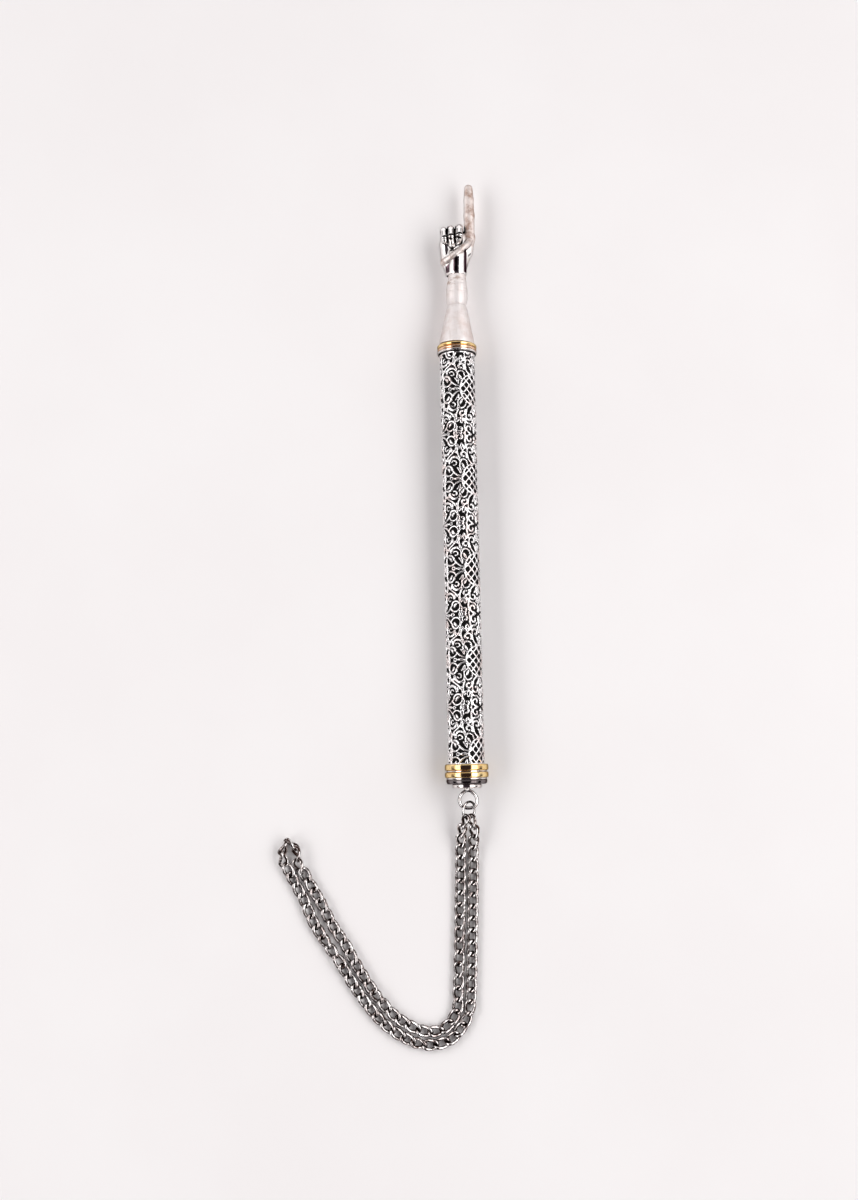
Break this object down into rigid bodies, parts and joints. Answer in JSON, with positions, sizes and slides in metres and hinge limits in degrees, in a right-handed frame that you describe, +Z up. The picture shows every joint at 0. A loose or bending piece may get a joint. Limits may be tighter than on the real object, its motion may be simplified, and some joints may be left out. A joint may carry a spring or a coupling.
{
  "type": "scroll pointer with pointing hand and chain",
  "caption": "Slim metal pointer with a cast pointing hand, a relief-patterned tube, gilt turned rings and a doubled curb chain on a jump ring.",
  "frame": {"origin": "on the surface the pointer lies on, below the middle of its rigid length from the jump ring to the fingertip", "axes": "+Y along the pointer from the chain end to the fingertip, +Z up out of the palm"},
  "size_m": [0.077, 0.3155, 0.0156],
  "materials": {
    "silver": "polished silver",
    "black_silver": "blackened silver",
    "filigree": "bright relief over a blackened ground",
    "gold": "polished gilt",
    "copper": "polished rose gilt",
    "steel": "machined",
    "chain": "oxidised nickel"
  },
  "bodies": {
    "pointer": {"pointing_hand": "silver", "cuff": "silver", "hand_stud": "steel", "collar_gold_ring": "gold", "collar_copper_ring": "copper", "collar_silver_ring": "silver", "collar_dark_ring": "black_silver", "upper_plug": "steel", "core_tube": "black_silver", "filigree_sleeve": "filigree", "tie_rod": "steel", "lower_plug": "steel", "rod_washer": "steel", "rod_nut": "steel", "lower_gold_ring_b": "gold", "lower_silver_washer_b": "silver", "lower_gold_ring_a": "gold", "lower_silver_washer_a": "silver", "lower_dark_ring": "black_silver", "end_disc": "silver", "hanging_eye": "silver"},
    "jump_ring": {"jump_ring": "silver"},
    "chain_near": {"chain_end_link_left": "chain", "chain_end_link_right": "chain", "chain_near_left": "chain", "chain_near_right": "chain"},
    "chain_far": {"chain_far_inner": "chain", "chain_far_outer": "chain", "chain_fold": "chain"}
  },
  "joints": [
    {"name": "ring_swing", "type": "hinge", "parent": "pointer", "child": "jump_ring", "pos_m": [0, -0.1132, 0.0078], "axis": [-1, 0, 0], "range_deg": [0, 60]},
    {"name": "chain_swing", "type": "hinge", "parent": "jump_ring", "child": "chain_near", "pos_m": [0.0002, -0.1169, 0.007], "axis": [0, 0, 1], "range_deg": [-25, 15]},
    {"name": "chain_bend", "type": "hinge", "parent": "chain_near", "child": "chain_far", "pos_m": [-0.0052, -0.1885, 0.0013], "axis": [0, 0, 1], "range_deg": [-20, 20]}
  ]
}
